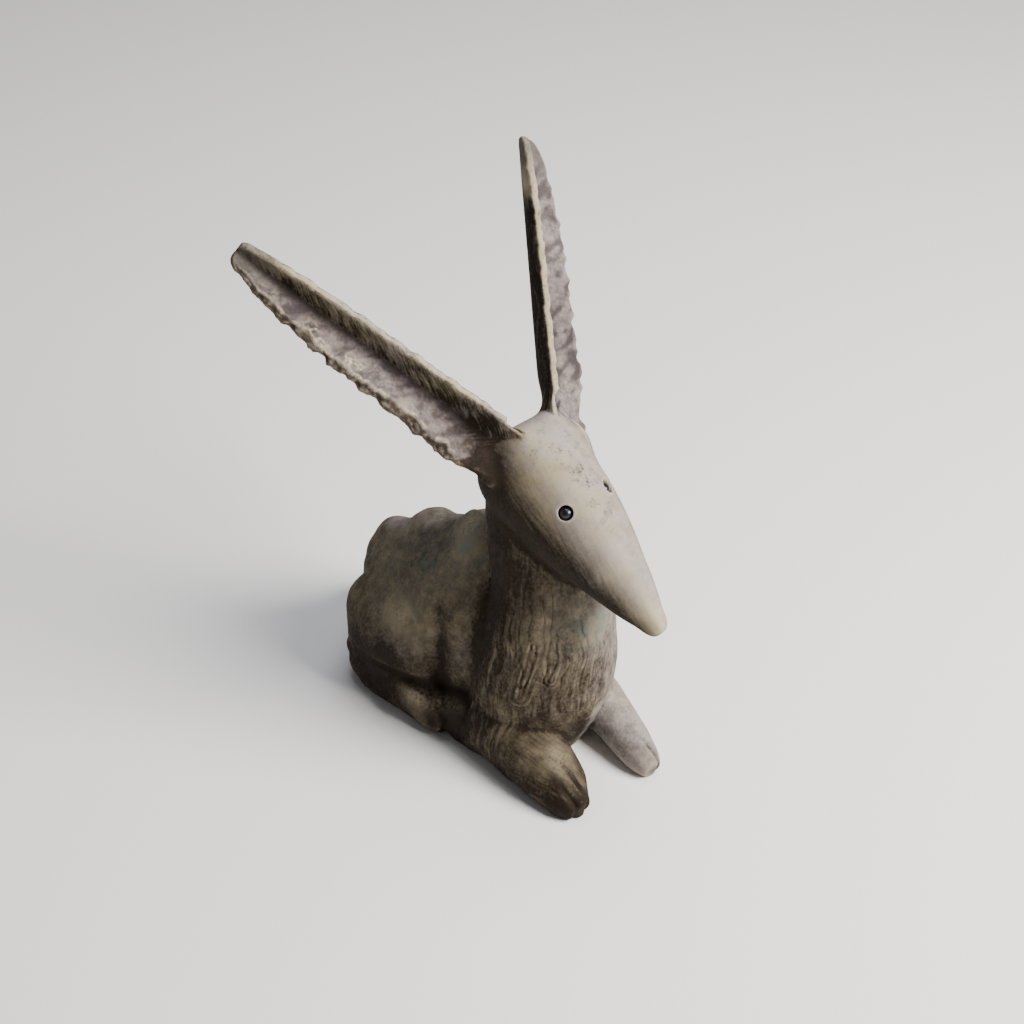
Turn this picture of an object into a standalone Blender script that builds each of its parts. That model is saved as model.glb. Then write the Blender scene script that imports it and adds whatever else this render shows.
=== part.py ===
"""Garden statue of a lying fox with very long ears, cast as one piece, with two set-in glass eyes.

The animal faces -Y and its left side is +X. Sizes are in metres, +Z is up, and the origin lies on the
ground under the trunk. Lumps of clay are joined and melted together, carved along their normals, cut
flat on the ground, and bored for the eyes. The pose, the lumps and the carving are given in parts, of
which the figure is 192 long from its nose to its rump.
"""

import math

import bmesh
import bpy
import numpy as np
from mathutils import Matrix, Vector

MM = 0.001


# Driving sizes: the figure's length from nose to rump, and the ears' reach

FIGURE_LENGTH = 192 * MM
EAR_SPAN = 163 * MM
EAR_TOP = 270 * MM
PART = FIGURE_LENGTH / 192

NOSE_TIP = Vector((-0.5, -116, 105)) * PART
HEAD_LENGTH = 118 * PART
HEAD_PITCH = math.radians(33)
HEAD_RADIUS = 27 * PART

EAR_LATERAL_WALLS = {-1: 21 * PART, 1: 24.5 * PART}
EAR_MEDIAL_WALLS = {-1: 14 * PART, 1: 11.5 * PART}
EAR_THICKNESS = 4.2 * MM
EAR_HALF_OPENING = math.radians(45)

EYE_DIAMETER = 6.6 * MM
EYE_CLEARANCE = 0.3 * MM
EYE_RECESS = 0.2 * MM
EYE_FROM_NOSE = 68 * PART
EYE_ANGLES = {-1: math.radians(40), 1: math.radians(29)}

# Carving, in parts

LOCK_PITCH = 7.5
LOCK_DEPTH = 0.6
TOE_DEPTH = 1.4
HAUNCH_CREASE = 1.8
PAWS = ((-34, -92, (-4, 4)), (13.5, -98, (1.5,)), (-37, -3, (-4.2, 4.2)), (37, -3, (-4.2, 4.2)))
THIGH_FRONT = ((8, -3), (26, -1), (42, -2), (62, -3), (76, 2), (90, 12))
THIGH_FOOT = ((-10, 20), (0, 26), (20, 27), (45, 25), (60, 22))

# The clay's grain, and how far it is melted and thinned

CLAY_VOXEL = 1.8 * MM
MELT_ROUNDS = 4
KEPT_TRIANGLES = 8600
EAR_GRID = (110, 24)


def clear_scene():
    for old in list(bpy.data.objects):
        bpy.data.objects.remove(old)


def cast_material(name, colour, roughness, coat=0.0):
    material = bpy.data.materials.new(name)
    material.use_nodes = True
    material.diffuse_color = (*colour, 1)
    shader = material.node_tree.nodes["Principled BSDF"]
    shader.inputs["Base Color"].default_value = (*colour, 1)
    shader.inputs["Roughness"].default_value = roughness
    shader.inputs["Metallic"].default_value = 0.0
    shader.inputs["Coat Weight"].default_value = coat
    return material


def smooth_rows(rows, steps=6):
    """Rows of numbers on a smooth curve through the given rows."""
    given = np.array(rows, float)
    padded = np.vstack([2 * given[0] - given[1], given, 2 * given[-1] - given[-2]])
    found = []
    for i in range(len(given) - 1):
        a, b, c, d = padded[i : i + 4]
        for t in np.linspace(0, 1, steps, endpoint=False):
            cubic = (3 * b - a - 3 * c + d) * t**3
            found.append(0.5 * (2 * b + (c - a) * t + (2 * a - 5 * b + 4 * c - d) * t**2 + cubic))
    found.append(given[-1])
    return np.array(found)


def add_loft(clay, rows, sides=32):
    """A closed lump through oval rings. A row is x, y, z, half the width and half the depth, in parts."""
    rows = smooth_rows(rows) * PART
    loops = []
    for i, row in enumerate(rows):
        before, after = rows[max(i - 1, 0)], rows[min(i + 1, len(rows) - 1)]
        along = Vector(after[:3] - before[:3]).normalized()
        across = (Vector((1, 0, 0)) - along.x * along).normalized()
        deep = along.cross(across)
        place = Matrix.Translation(row[:3]) @ Matrix((across, deep, along)).transposed().to_4x4()
        place = place @ Matrix.Diagonal((max(row[3], 1e-4), max(row[4], 1e-4), 1, 1))
        ends = i in (0, len(rows) - 1)
        made = bmesh.ops.create_circle(clay, cap_ends=ends, segments=sides, radius=1, matrix=place)
        ring = made["verts"]
        loops.append([e for e in {e for v in ring for e in v.link_edges} if len(e.link_faces) == int(ends)])
    for first, second in zip(loops, loops[1:]):
        bmesh.ops.bridge_loops(clay, edges=first + second)


def add_lump(clay, centre, radii):
    """An egg of clay: its centre and half sizes in parts."""
    place = Matrix.Translation(Vector(centre) * PART) @ Matrix.Diagonal((*(Vector(radii) * PART), 1))
    bmesh.ops.create_icosphere(clay, subdivisions=4, radius=1, matrix=place)


def on_side(side, row):
    """The same row on the animal's left (side 1) or right (side -1)."""
    return (side * row[0], *row[1:])


# The head's own frame: along points from the nose to the nape, crown up out of the forehead

HEAD_ALONG = Vector((0, math.cos(HEAD_PITCH), math.sin(HEAD_PITCH)))
HEAD_CROWN = Vector((0, -math.sin(HEAD_PITCH), math.cos(HEAD_PITCH)))
HEAD_SHARES = (
    (0.0, 0.10),
    (0.012, 0.17),
    (0.04, 0.235),
    (0.08, 0.285),
    (0.14, 0.39),
    (0.24, 0.525),
    (0.40, 0.725),
    (0.55, 0.875),
    (0.70, 0.965),
    (0.82, 1.0),
    (0.91, 0.92),
    (0.97, 0.68),
    (1.0, 0.30),
)


def head_radius(from_nose):
    shares = smooth_rows(HEAD_SHARES)
    return HEAD_RADIUS * float(np.interp(from_nose / HEAD_LENGTH, shares[:, 0], shares[:, 1]))


def add_head(clay):
    rows = []
    for share, radius in HEAD_SHARES:
        centre = (NOSE_TIP + HEAD_ALONG * share * HEAD_LENGTH) / PART
        wide = HEAD_RADIUS * radius / PART
        rows.append((*centre, wide, wide))
    add_loft(clay, rows, sides=40)


# The body's lumps, in parts. The right foreleg lies close to the chest and the left one reaches out.

NECK_ROWS = (
    (0, -28.5, -4, 36, 24.5),
    (0, -35.5, 16, 37.5, 31.2),
    (0, -43, 46, 37.7, 34),
    (0, -46, 75, 33.2, 31),
    (0, -45, 100, 27.5, 29),
    (0, -40, 125, 26, 27),
    (0, -36, 145, 24, 25),
)
TRUNK_ROWS = (
    (0, -50, 48, 20, 40),
    (0, -35, 48, 30, 54),
    (0, -10, 48, 34, 57),
    (0, 10, 47, 36, 55),
    (0, 30, 45, 36, 48),
    (0, 48, 43, 32, 41),
    (0, 61, 41, 25, 34),
    (0, 70, 39, 17, 27),
    (0, 76, 38, 8, 16),
)
BELLY_ROWS = (
    (0, -20, 12, 32, 17),
    (0, 10, 12, 37, 18),
    (0, 40, 12, 37, 18),
    (0, 58, 13, 30, 19),
    (0, 70, 17, 16, 17),
)
SPINE_HUMPS = ((0, 92, 19, 18, 21.5), (35, 78.5, 18, 16, 18), (62, 62.5, 14.5, 13.5, 16.5))
RIGHT_FORELEG_ROWS = (
    (-25, -26, 18, 15, 24),
    (-26, -46, 15, 17, 20),
    (-27.5, -64, 12, 17, 17),
    (-30.5, -79.5, 9, 15, 13.5),
    (-33.5, -91, 6, 11, 10),
    (-34.5, -99.5, 4, 6, 6.5),
)
LEFT_FORELEG_ROWS = (
    (21, -40, 22, 14, 20),
    (21, -60, 16.5, 12.5, 16),
    (19, -76, 11.5, 11, 11.2),
    (15.5, -89.5, 8, 9.8, 10),
    (13, -98.5, 6, 8.2, 8.6),
    (11.5, -106, 4, 5, 5.5),
)
HIND_FOOT_ROWS = (
    (31, 60, 12, 5, 7),
    (33, 55, 12, 9, 13),
    (33.5, 46, 12, 10.5, 17),
    (34, 30, 12, 10.5, 17),
    (34.5, 10, 13, 10, 17),
    (35, -2, 10, 10.5, 14),
    (34, -10, 6, 8.5, 9),
)
HAUNCH_CENTRE = (24, 34, 35)
HAUNCH_RADII = (22, 38, 34)
ELBOW_CENTRE = (25, -24, 12)
ELBOW_RADII = (15.5, 32, 21)
LEFT_TEMPLE_CENTRE = (20, -40.5, 166.5)
LEFT_TEMPLE_RADII = (6.5, 12.5, 13)
RIGHT_HOCK_CENTRE = (-34, 52, 21)
RIGHT_HOCK_RADII = (7.8, 15, 10)
WITHERS_CENTRE = (-2, 4, 97)
WITHERS_RADII = (9, 7.5, 18.5)
TAIL_ROWS = (
    (-14, 58, 50, 6, 8),
    (-7, 66, 44, 9, 11),
    (4, 74.5, 33, 10.5, 12.5),
    (20, 83, 19, 11, 13),
    (38, 71, 12, 12, 14),
    (46, 50, 10, 12, 14),
    (46, 28, 9, 11, 12),
    (43, 10, 7, 8, 9),
    (40, 0, 5, 4, 5),
)


def add_body(clay):
    add_loft(clay, TRUNK_ROWS)
    add_loft(clay, BELLY_ROWS)
    add_loft(clay, NECK_ROWS)
    add_loft(clay, RIGHT_FORELEG_ROWS)
    add_loft(clay, LEFT_FORELEG_ROWS)
    add_loft(clay, TAIL_ROWS)
    for side in (-1, 1):
        add_lump(clay, on_side(side, HAUNCH_CENTRE), HAUNCH_RADII)
        add_lump(clay, on_side(side, ELBOW_CENTRE), ELBOW_RADII)
        add_loft(clay, [on_side(side, row) for row in HIND_FOOT_ROWS])
    add_lump(clay, LEFT_TEMPLE_CENTRE, LEFT_TEMPLE_RADII)
    add_lump(clay, WITHERS_CENTRE, WITHERS_RADII)
    add_lump(clay, RIGHT_HOCK_CENTRE, RIGHT_HOCK_RADII)
    for y, z, wide, long, high in SPINE_HUMPS:
        add_lump(clay, (0, y, z), (wide, long, high))


# The ears: a leaf folded along its middle, open forwards and outwards, rooted inside the skull

EAR_ROOTS = {-1: Vector((-15, -30, 175)) * PART, 1: Vector((15, -30, 175)) * PART}
EAR_TIPS = {
    -1: Vector((-EAR_SPAN / 2, 70 * PART, EAR_TOP - 5 * PART)),
    1: Vector((EAR_SPAN / 2, 49 * PART, EAR_TOP)),
}
EAR_OPENS = Vector((0.688, -0.683, 0.243))
EAR_WIDTHS = (
    (-0.04, 0.95),
    (0.0, 1.08),
    (0.12, 1.1),
    (0.3, 1.0),
    (0.6, 0.88),
    (0.8, 0.70),
    (0.92, 0.51),
    (0.98, 0.34),
    (1.0, 0.17),
)
EAR_FOLD = 0.2
RIM_RAGGED = 0.055


def ear_axes(side):
    """The ear's root, its tip and the directions along it, across it and out of its opening."""
    root, tip = EAR_ROOTS[side], EAR_TIPS[side]
    along = (tip - root).normalized()
    opens = Vector(on_side(side, EAR_OPENS))
    opens = (opens - opens.dot(along) * along).normalized()
    lateral = along.cross(opens) if side > 0 else opens.cross(along)
    return root, tip, lateral, opens


def rim_wave(share, side):
    """The torn edge of the ear: a few waves of unlike length."""
    wave = math.sin(61 * share + 2 * side) + 0.8 * math.sin(97 * share + 1.3) + 0.6 * math.sin(151 * share)
    return 1 + RIM_RAGGED * wave / 1.5


def add_ear(clay, side):
    """One ear as a grid bent into a channel and given its thickness away from the opening."""
    root, tip, lateral, opens = ear_axes(side)
    widths = smooth_rows(EAR_WIDTHS)
    first = widths[0, 0]
    sheet = bmesh.new()
    bmesh.ops.create_grid(sheet, x_segments=EAR_GRID[0], y_segments=EAR_GRID[1], size=1)
    for v in sheet.verts:
        share = first + (1 - first) * (v.co.x + 1) / 2
        across = v.co.y
        wall = EAR_LATERAL_WALLS[side] if across > 0 else EAR_MEDIAL_WALLS[side]
        height = wall * float(np.interp(share, widths[:, 0], widths[:, 1]))
        height *= 1 + (rim_wave(share, side) - 1) * abs(across)
        fold = math.sqrt(across**2 + EAR_FOLD**2) - EAR_FOLD
        v.co = (
            root.lerp(tip, share)
            + lateral * across * height * math.sin(EAR_HALF_OPENING)
            + opens * fold * height * math.cos(EAR_HALF_OPENING)
        )
    bmesh.ops.recalc_face_normals(sheet, faces=sheet.faces)
    middle = min(sheet.faces, key=lambda face: (face.calc_center_median() - root.lerp(tip, 0.5)).length)
    inward = 1 if middle.normal.dot(opens) > 0 else -1
    bmesh.ops.solidify(sheet, geom=sheet.faces[:], thickness=inward * EAR_THICKNESS)
    mesh = bpy.data.meshes.new("ear")
    sheet.to_mesh(mesh)
    sheet.free()
    clay.from_mesh(mesh)
    bpy.data.meshes.remove(mesh)


# Carving: each function gives a height over the points of the skin, both in parts


def step_between(low, high, value):
    t = np.clip((value - low) / (high - low), 0, 1)
    return t * t * (3 - 2 * t)


def ripple(points, size, seed=0):
    """Smooth unevenness between about -1 and 1: slanting waves of unlike directions."""
    total = np.zeros(len(points))
    for i in range(6):
        turn, rise = 2.4 * (i + 1) + seed, math.sin(1.7 * i + seed)
        way = np.array((math.cos(turn), math.sin(turn), rise)) / math.hypot(1, rise)
        total += np.sin(points @ way * (1 + 0.17 * i) * 2.2 / size + 4.1 * i + 1.3 * seed)
    return total / 2.4


def grooves(phase):
    """Rounded locks with sharp grooves between them, one for each whole number of the phase."""
    return np.sqrt(np.abs(np.sin(math.pi * phase)) + 0.02) - 0.7


def bump(distance, width):
    return np.exp(-((distance / width) ** 2))


def head_gap(points):
    """How far each point lies outside the head."""
    rel = points - np.array(NOSE_TIP / PART)
    along = rel @ np.array(HEAD_ALONG)
    off = rel - along[:, None] * np.array(HEAD_ALONG)
    shares = smooth_rows(HEAD_SHARES)
    radius = np.interp(along * PART / HEAD_LENGTH, shares[:, 0], shares[:, 1]) * HEAD_RADIUS / PART
    return np.linalg.norm(off, axis=1) - radius


def chest_locks(points):
    """Long wavy locks down the neck and the chest."""
    x, y, z = points.T
    around = np.arctan2(x, -(y + 40)) * 32
    phase = around / LOCK_PITCH + 0.55 * ripple(points, 30, 1) + 0.35 * np.sin(z / 9 + around / 14)
    shown = step_between(0, 10, 5 - y) * step_between(2, 8, head_gap(points)) * step_between(4, 14, z)
    shown *= step_between(158, 140, z)
    depth = LOCK_DEPTH * (0.75 + 0.35 * ripple(points, 26, 5))
    return shown * depth * grooves(phase)


def foreleg_locks(points):
    """Shorter locks that run down the forelegs towards the paws."""
    x, y, z = points.T
    phase = (x + 0.55 * z) / (LOCK_PITCH * 0.85) + 0.5 * ripple(points, 22, 3) + 0.2 * np.sin(y / 8)
    shown = step_between(-56, -68, y) * step_between(-104, -94, y) * step_between(40, 30, z)
    return 0.7 * LOCK_DEPTH * shown * grooves(phase)


def toe_cuts(points):
    """Creases between the toes of the four paws."""
    x, y, z = points.T
    height = np.zeros(len(points))
    for paw_x, paw_y, creases in PAWS:
        near = step_between(15, 9, np.abs(x - paw_x)) * step_between(paw_y + 8, paw_y - 4, y)
        near *= step_between(paw_y - 22, paw_y - 16, y) * step_between(24, 18, z)
        for crease in creases:
            height -= TOE_DEPTH * near * bump(x - paw_x - crease, 1.4)
    return height


def thigh_shape(points):
    """The thigh stands out round behind its front crease and over the foot."""
    x, y, z = points.T
    side = step_between(20, 27, np.abs(x))
    front = y - np.interp(z, *zip(*THIGH_FRONT))
    below = z - np.interp(y, *zip(*THIGH_FOOT))
    crease = -HAUNCH_CREASE * bump(front, 3.4) + 0.6 * HAUNCH_CREASE * bump(front - 9, 6)
    fold = -HAUNCH_CREASE * bump(below, 2.8) + 0.35 * HAUNCH_CREASE * bump(below + 6, 3.5)
    crease *= step_between(10, 18, z) * step_between(86, 70, z)
    fold *= step_between(-8, 4, y) * step_between(58, 44, y)
    return side * (crease + fold)


def uneven_clay(points):
    """The hand-worked surface of the trunk, absent from the smooth head and the ears."""
    shown = step_between(3, 10, head_gap(points)) * step_between(175, 150, points[:, 2])
    return 0.45 * shown * ripple(points, 15, 7)


def carve(mesh):
    count = len(mesh.vertices)
    points, normals = np.empty(count * 3), np.empty(count * 3)
    mesh.vertices.foreach_get("co", points)
    mesh.vertex_normals.foreach_get("vector", normals)
    points, normals = points.reshape(-1, 3), normals.reshape(-1, 3)
    skin = points / PART
    height = chest_locks(skin) + foreleg_locks(skin) + toe_cuts(skin) + thigh_shape(skin) + uneven_clay(skin)
    points = points + normals * height[:, None] * PART
    mesh.vertices.foreach_set("co", points.ravel())
    mesh.update()


# The eyes: the socket and the bead take their size and place from the same values


def eye_place(side):
    """The bead's centre and the direction out of its socket."""
    angle = EYE_ANGLES[side]
    out = HEAD_CROWN * math.cos(angle) + Vector((side * math.sin(angle), 0, 0))
    skin = NOSE_TIP + HEAD_ALONG * EYE_FROM_NOSE + out * head_radius(EYE_FROM_NOSE)
    return skin - out * (EYE_RECESS + EYE_DIAMETER / 2), out


def aimed(centre, out):
    return Matrix.Translation(centre) @ out.to_track_quat("Z", "Y").to_matrix().to_4x4()


def make_socket_cutter(side, collection):
    """A round-bottomed hole: a dome below and a straight wall out through the skin."""
    centre, out = eye_place(side)
    radius = EYE_DIAMETER / 2 + EYE_CLEARANCE
    reach = EYE_DIAMETER / 2 + EYE_RECESS + 3 * MM
    tool = bmesh.new()
    bmesh.ops.create_uvsphere(tool, u_segments=24, v_segments=12, radius=radius)
    upper = [v for v in tool.verts if v.co.z > 1e-6]
    bmesh.ops.delete(tool, geom=upper, context="VERTS")
    open_edges = [e for e in tool.edges if len(e.link_faces) == 1]
    grown = bmesh.ops.extrude_edge_only(tool, edges=open_edges)["geom"]
    top = [v for v in grown if isinstance(v, bmesh.types.BMVert)]
    bmesh.ops.translate(tool, verts=top, vec=(0, 0, reach))
    bmesh.ops.contextual_create(tool, geom=top)
    bmesh.ops.recalc_face_normals(tool, faces=tool.faces)
    mesh = bpy.data.meshes.new(f"socket_tool_{side}")
    tool.to_mesh(mesh)
    tool.free()
    return place_cutter(mesh, aimed(centre, out), collection)


def make_ground_cutter(collection):
    """A block of earth, far wider than the figure, whose top is the ground."""
    side = 3 * FIGURE_LENGTH
    tool = bmesh.new()
    bmesh.ops.create_cube(tool, size=side)
    mesh = bpy.data.meshes.new("ground_tool")
    tool.to_mesh(mesh)
    tool.free()
    return place_cutter(mesh, Matrix.Translation((0, 0, -side / 2)), collection)


def place_cutter(mesh, matrix, collection):
    cutter = bpy.data.objects.new(mesh.name, mesh)
    cutter.matrix_world = matrix
    cutter.hide_render = True
    cutter.display_type = "WIRE"
    collection.objects.link(cutter)
    return cutter


def make_bead(side, name, collection):
    centre, out = eye_place(side)
    mesh = bpy.data.meshes.new(name)
    ball = bmesh.new()
    bmesh.ops.create_uvsphere(ball, u_segments=20, v_segments=10, radius=EYE_DIAMETER / 2)
    ball.to_mesh(mesh)
    ball.free()
    bead = bpy.data.objects.new(name, mesh)
    bead.matrix_world = aimed(centre, out)
    mesh.materials.append(cast_material("blue_black_glass", (0.012, 0.014, 0.03), 0.08, 1.0))
    collection.objects.link(bead)
    return bead


def melted_clay():
    """All lumps as one skin of even small faces."""
    clay = bmesh.new()
    add_body(clay)
    add_head(clay)
    for side in (-1, 1):
        add_ear(clay, side)
    mesh = bpy.data.meshes.new("clay")
    clay.to_mesh(mesh)
    clay.free()
    lump = bpy.data.objects.new("clay", mesh)
    bpy.context.scene.collection.objects.link(lump)
    joined = lump.modifiers.new("join", "REMESH")
    joined.mode = "VOXEL"
    joined.voxel_size = CLAY_VOXEL
    melt = lump.modifiers.new("melt", "SMOOTH")
    melt.factor = 0.5
    melt.iterations = MELT_ROUNDS
    graph = bpy.context.evaluated_depsgraph_get()
    skin = bpy.data.meshes.new_from_object(lump.evaluated_get(graph))
    bpy.data.objects.remove(lump)
    bpy.data.meshes.remove(mesh)
    return skin


def add_cut(statue, cutter):
    cut = statue.modifiers.new(cutter.name, "BOOLEAN")
    cut.operation = "DIFFERENCE"
    cut.solver = "EXACT"
    cut.object = cutter


def make_statue(collection, tools):
    mesh = melted_clay()
    mesh.name = "fox_statue"
    carve(mesh)
    mesh.materials.clear()
    mesh.materials.append(cast_material("weathered_stoneware", (0.32, 0.28, 0.22), 0.85))
    statue = bpy.data.objects.new("fox_statue", mesh)
    collection.objects.link(statue)
    fewer = statue.modifiers.new("fewer", "DECIMATE")
    fewer.ratio = min(1.0, KEPT_TRIANGLES / (2 * len(mesh.polygons)))
    add_cut(statue, make_ground_cutter(tools))
    for side in (-1, 1):
        add_cut(statue, make_socket_cutter(side, tools))
    return statue


def main():
    clear_scene()
    collection = bpy.data.collections.new("fox_garden_statue")
    tools = bpy.data.collections.new("cutters")
    bpy.context.scene.collection.children.link(collection)
    bpy.context.scene.collection.children.link(tools)
    make_statue(collection, tools)
    make_bead(-1, "right_eye_bead", collection)
    make_bead(1, "left_eye_bead", collection)


main()
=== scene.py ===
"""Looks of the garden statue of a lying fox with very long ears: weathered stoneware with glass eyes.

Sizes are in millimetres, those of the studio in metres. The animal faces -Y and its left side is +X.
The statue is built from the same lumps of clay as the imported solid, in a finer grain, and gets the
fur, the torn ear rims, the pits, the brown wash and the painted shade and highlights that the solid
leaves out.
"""

import itertools
import math

import bmesh
import bpy
import numpy as np
from mathutils import Matrix, Vector


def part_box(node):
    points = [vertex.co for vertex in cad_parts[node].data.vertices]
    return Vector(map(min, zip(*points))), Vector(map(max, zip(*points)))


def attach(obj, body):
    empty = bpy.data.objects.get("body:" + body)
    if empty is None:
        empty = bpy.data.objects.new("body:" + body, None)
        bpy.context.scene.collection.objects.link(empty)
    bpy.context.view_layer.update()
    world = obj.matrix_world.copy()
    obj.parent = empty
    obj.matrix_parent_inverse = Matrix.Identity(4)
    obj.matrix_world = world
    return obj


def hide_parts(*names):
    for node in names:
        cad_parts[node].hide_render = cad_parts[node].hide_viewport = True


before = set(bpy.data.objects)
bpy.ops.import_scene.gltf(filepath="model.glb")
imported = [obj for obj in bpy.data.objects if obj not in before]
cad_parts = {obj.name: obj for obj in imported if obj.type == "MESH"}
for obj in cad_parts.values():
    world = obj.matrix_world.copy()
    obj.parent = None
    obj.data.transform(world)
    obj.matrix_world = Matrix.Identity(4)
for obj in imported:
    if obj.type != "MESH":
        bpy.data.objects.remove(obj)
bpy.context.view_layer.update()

MM = 0.001

# Sizes of the figure, as in the solid

NOSE_TIP = np.array((-0.5, -116, 105))
HEAD_LENGTH = 118
HEAD_PITCH = math.radians(33)
HEAD_RADIUS = 27

EAR_LATERAL_WALLS = {-1: 21, 1: 24.5}
EAR_MEDIAL_WALLS = {-1: 14, 1: 11.5}
EAR_THICKNESS = 4.2
EAR_HALF_OPENING = math.radians(45)
EAR_GRID = (220, 48)

EYE_DIAMETER = 6.6
EYE_CLEARANCE = 0.3
EYE_RECESS = 0.2
EYE_FROM_NOSE = 68
EYE_ANGLES = {-1: math.radians(40), 1: math.radians(29)}

LOCK_PITCH = 7.5
LOCK_DEPTH = 0.6
TOE_DEPTH = 1.4
HAUNCH_CREASE = 1.8
PAWS = ((-34, -92, (-4, 4)), (13.5, -98, (1.5,)), (-37, -3, (-4.2, 4.2)), (37, -3, (-4.2, 4.2)))
THIGH_FRONT = ((8, -3), (26, -1), (42, -2), (62, -3), (76, 2), (90, 12))
THIGH_FOOT = ((-10, 20), (0, 26), (20, 27), (45, 25), (60, 22))

# The clay's grain: a finer one than the solid's needs more rounds to melt as far

CLAY_VOXEL = 0.75
MELT_ROUNDS = 23
KEPT_TRIANGLES = 190000

# Rounds of smoothing that blend the ears' roots, and that tell fine and broad relief from the form

ROOT_ROUNDS = 170
FINE_ROUNDS = 6
BROAD_ROUNDS = 90

# Hair strokes, wide and fine: how long each runs and how far apart they lie. The rings of the nested
# locks: their spacing and depth.

WIDE_STROKES = (19, 3.3)
FINE_STROKES = (11, 2.0)
RING_PITCH = 2.3
RING_DEPTH = 0.15

# A nested lock's place around the chest, its low and high end, its lean and its half width. Where the
# torn lip lies on each lateral wall of an ear, as a share of the wall.

NESTED_LOCKS = ((-35, 50, 76, 0.18, 7.5), (-22, 62, 80, 0.05, 5.5))
EAR_LIPS = {-1: 0.80, 1: 0.93}


def as_mesh(name, shape):
    """The bmesh's form as a mesh. The bmesh is freed."""
    mesh = bpy.data.meshes.new(name)
    shape.to_mesh(mesh)
    shape.free()
    return mesh


def linked(name, data):
    """A new object in the scene."""
    made = bpy.data.objects.new(name, data)
    bpy.context.scene.collection.objects.link(made)
    return made


def finished_mesh(obj):
    """The object's mesh with its modifiers applied."""
    graph = bpy.context.evaluated_depsgraph_get()
    return bpy.data.meshes.new_from_object(obj.evaluated_get(graph))


def smooth_rows(rows, steps=6):
    """Rows of numbers on a smooth curve through the given rows."""
    given = np.array(rows, float)
    padded = np.vstack([2 * given[0] - given[1], given, 2 * given[-1] - given[-2]])
    found = []
    for i in range(len(given) - 1):
        a, b, c, d = padded[i : i + 4]
        for t in np.linspace(0, 1, steps, endpoint=False):
            cubic = (3 * b - a - 3 * c + d) * t**3
            found.append(0.5 * (2 * b + (c - a) * t + (2 * a - 5 * b + 4 * c - d) * t**2 + cubic))
    found.append(given[-1])
    return np.array(found)


def add_loft(clay, rows, sides=48):
    """A closed lump through oval rings. A row is x, y, z, half the width and half the depth."""
    rows = smooth_rows(rows) * MM
    loops = []
    for i, row in enumerate(rows):
        before, after = rows[max(i - 1, 0)], rows[min(i + 1, len(rows) - 1)]
        along = Vector(after[:3] - before[:3]).normalized()
        across = (Vector((1, 0, 0)) - along.x * along).normalized()
        deep = along.cross(across)
        place = Matrix.Translation(row[:3]) @ Matrix((across, deep, along)).transposed().to_4x4()
        place = place @ Matrix.Diagonal((max(row[3], 1e-4), max(row[4], 1e-4), 1, 1))
        ends = i in (0, len(rows) - 1)
        made = bmesh.ops.create_circle(clay, cap_ends=ends, segments=sides, radius=1, matrix=place)
        edges = {e for v in made["verts"] for e in v.link_edges}
        loops.append([e for e in edges if len(e.link_faces) == int(ends)])
    for first, second in zip(loops, loops[1:]):
        bmesh.ops.bridge_loops(clay, edges=first + second)


def add_lump(clay, centre, radii):
    """An egg of clay: its centre and half sizes."""
    place = Matrix.Translation(Vector(centre) * MM) @ Matrix.Diagonal((*(Vector(radii) * MM), 1))
    bmesh.ops.create_icosphere(clay, subdivisions=5, radius=1, matrix=place)


def on_side(side, row):
    """The same row on the animal's left (side 1) or right (side -1)."""
    return (side * row[0], *row[1:])


# The head's own frame: along points from the nose to the nape, crown up out of the forehead

HEAD_ALONG = np.array((0, math.cos(HEAD_PITCH), math.sin(HEAD_PITCH)))
HEAD_CROWN = np.array((0, -math.sin(HEAD_PITCH), math.cos(HEAD_PITCH)))
HEAD_SHARES = (
    (0.0, 0.10), (0.012, 0.17), (0.04, 0.235), (0.08, 0.285), (0.14, 0.39), (0.24, 0.525),
    (0.40, 0.725), (0.55, 0.875), (0.70, 0.965), (0.82, 1.0), (0.91, 0.92), (0.97, 0.68), (1.0, 0.30),
)


def head_radius(from_nose):
    shares = smooth_rows(HEAD_SHARES)
    return HEAD_RADIUS * np.interp(from_nose / HEAD_LENGTH, shares[:, 0], shares[:, 1])


def add_head(clay):
    rows = []
    for share, radius in HEAD_SHARES:
        wide = HEAD_RADIUS * radius
        rows.append((*(NOSE_TIP + HEAD_ALONG * share * HEAD_LENGTH), wide, wide))
    add_loft(clay, rows)


# The body's lumps. The right foreleg lies close to the chest and the left one reaches out.

NECK_ROWS = (
    (0, -28.5, -4, 36, 24.5),
    (0, -35.5, 16, 37.5, 31.2),
    (0, -43, 46, 37.7, 34),
    (0, -46, 75, 33.2, 31),
    (0, -45, 100, 27.5, 29),
    (0, -40, 125, 26, 27),
    (0, -36, 145, 24, 25),
)
TRUNK_ROWS = (
    (0, -50, 48, 20, 40),
    (0, -35, 48, 30, 54),
    (0, -10, 48, 34, 57),
    (0, 10, 47, 36, 55),
    (0, 30, 45, 36, 48),
    (0, 48, 43, 32, 41),
    (0, 61, 41, 25, 34),
    (0, 70, 39, 17, 27),
    (0, 76, 38, 8, 16),
)
BELLY_ROWS = (
    (0, -20, 12, 32, 17),
    (0, 10, 12, 37, 18),
    (0, 40, 12, 37, 18),
    (0, 58, 13, 30, 19),
    (0, 70, 17, 16, 17),
)
SPINE_HUMPS = ((0, 92, 19, 18, 21.5), (35, 78.5, 18, 16, 18), (62, 62.5, 14.5, 13.5, 16.5))
RIGHT_FORELEG_ROWS = (
    (-25, -26, 18, 15, 24),
    (-26, -46, 15, 17, 20),
    (-27.5, -64, 12, 17, 17),
    (-30.5, -79.5, 9, 15, 13.5),
    (-33.5, -91, 6, 11, 10),
    (-34.5, -99.5, 4, 6, 6.5),
)
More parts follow.
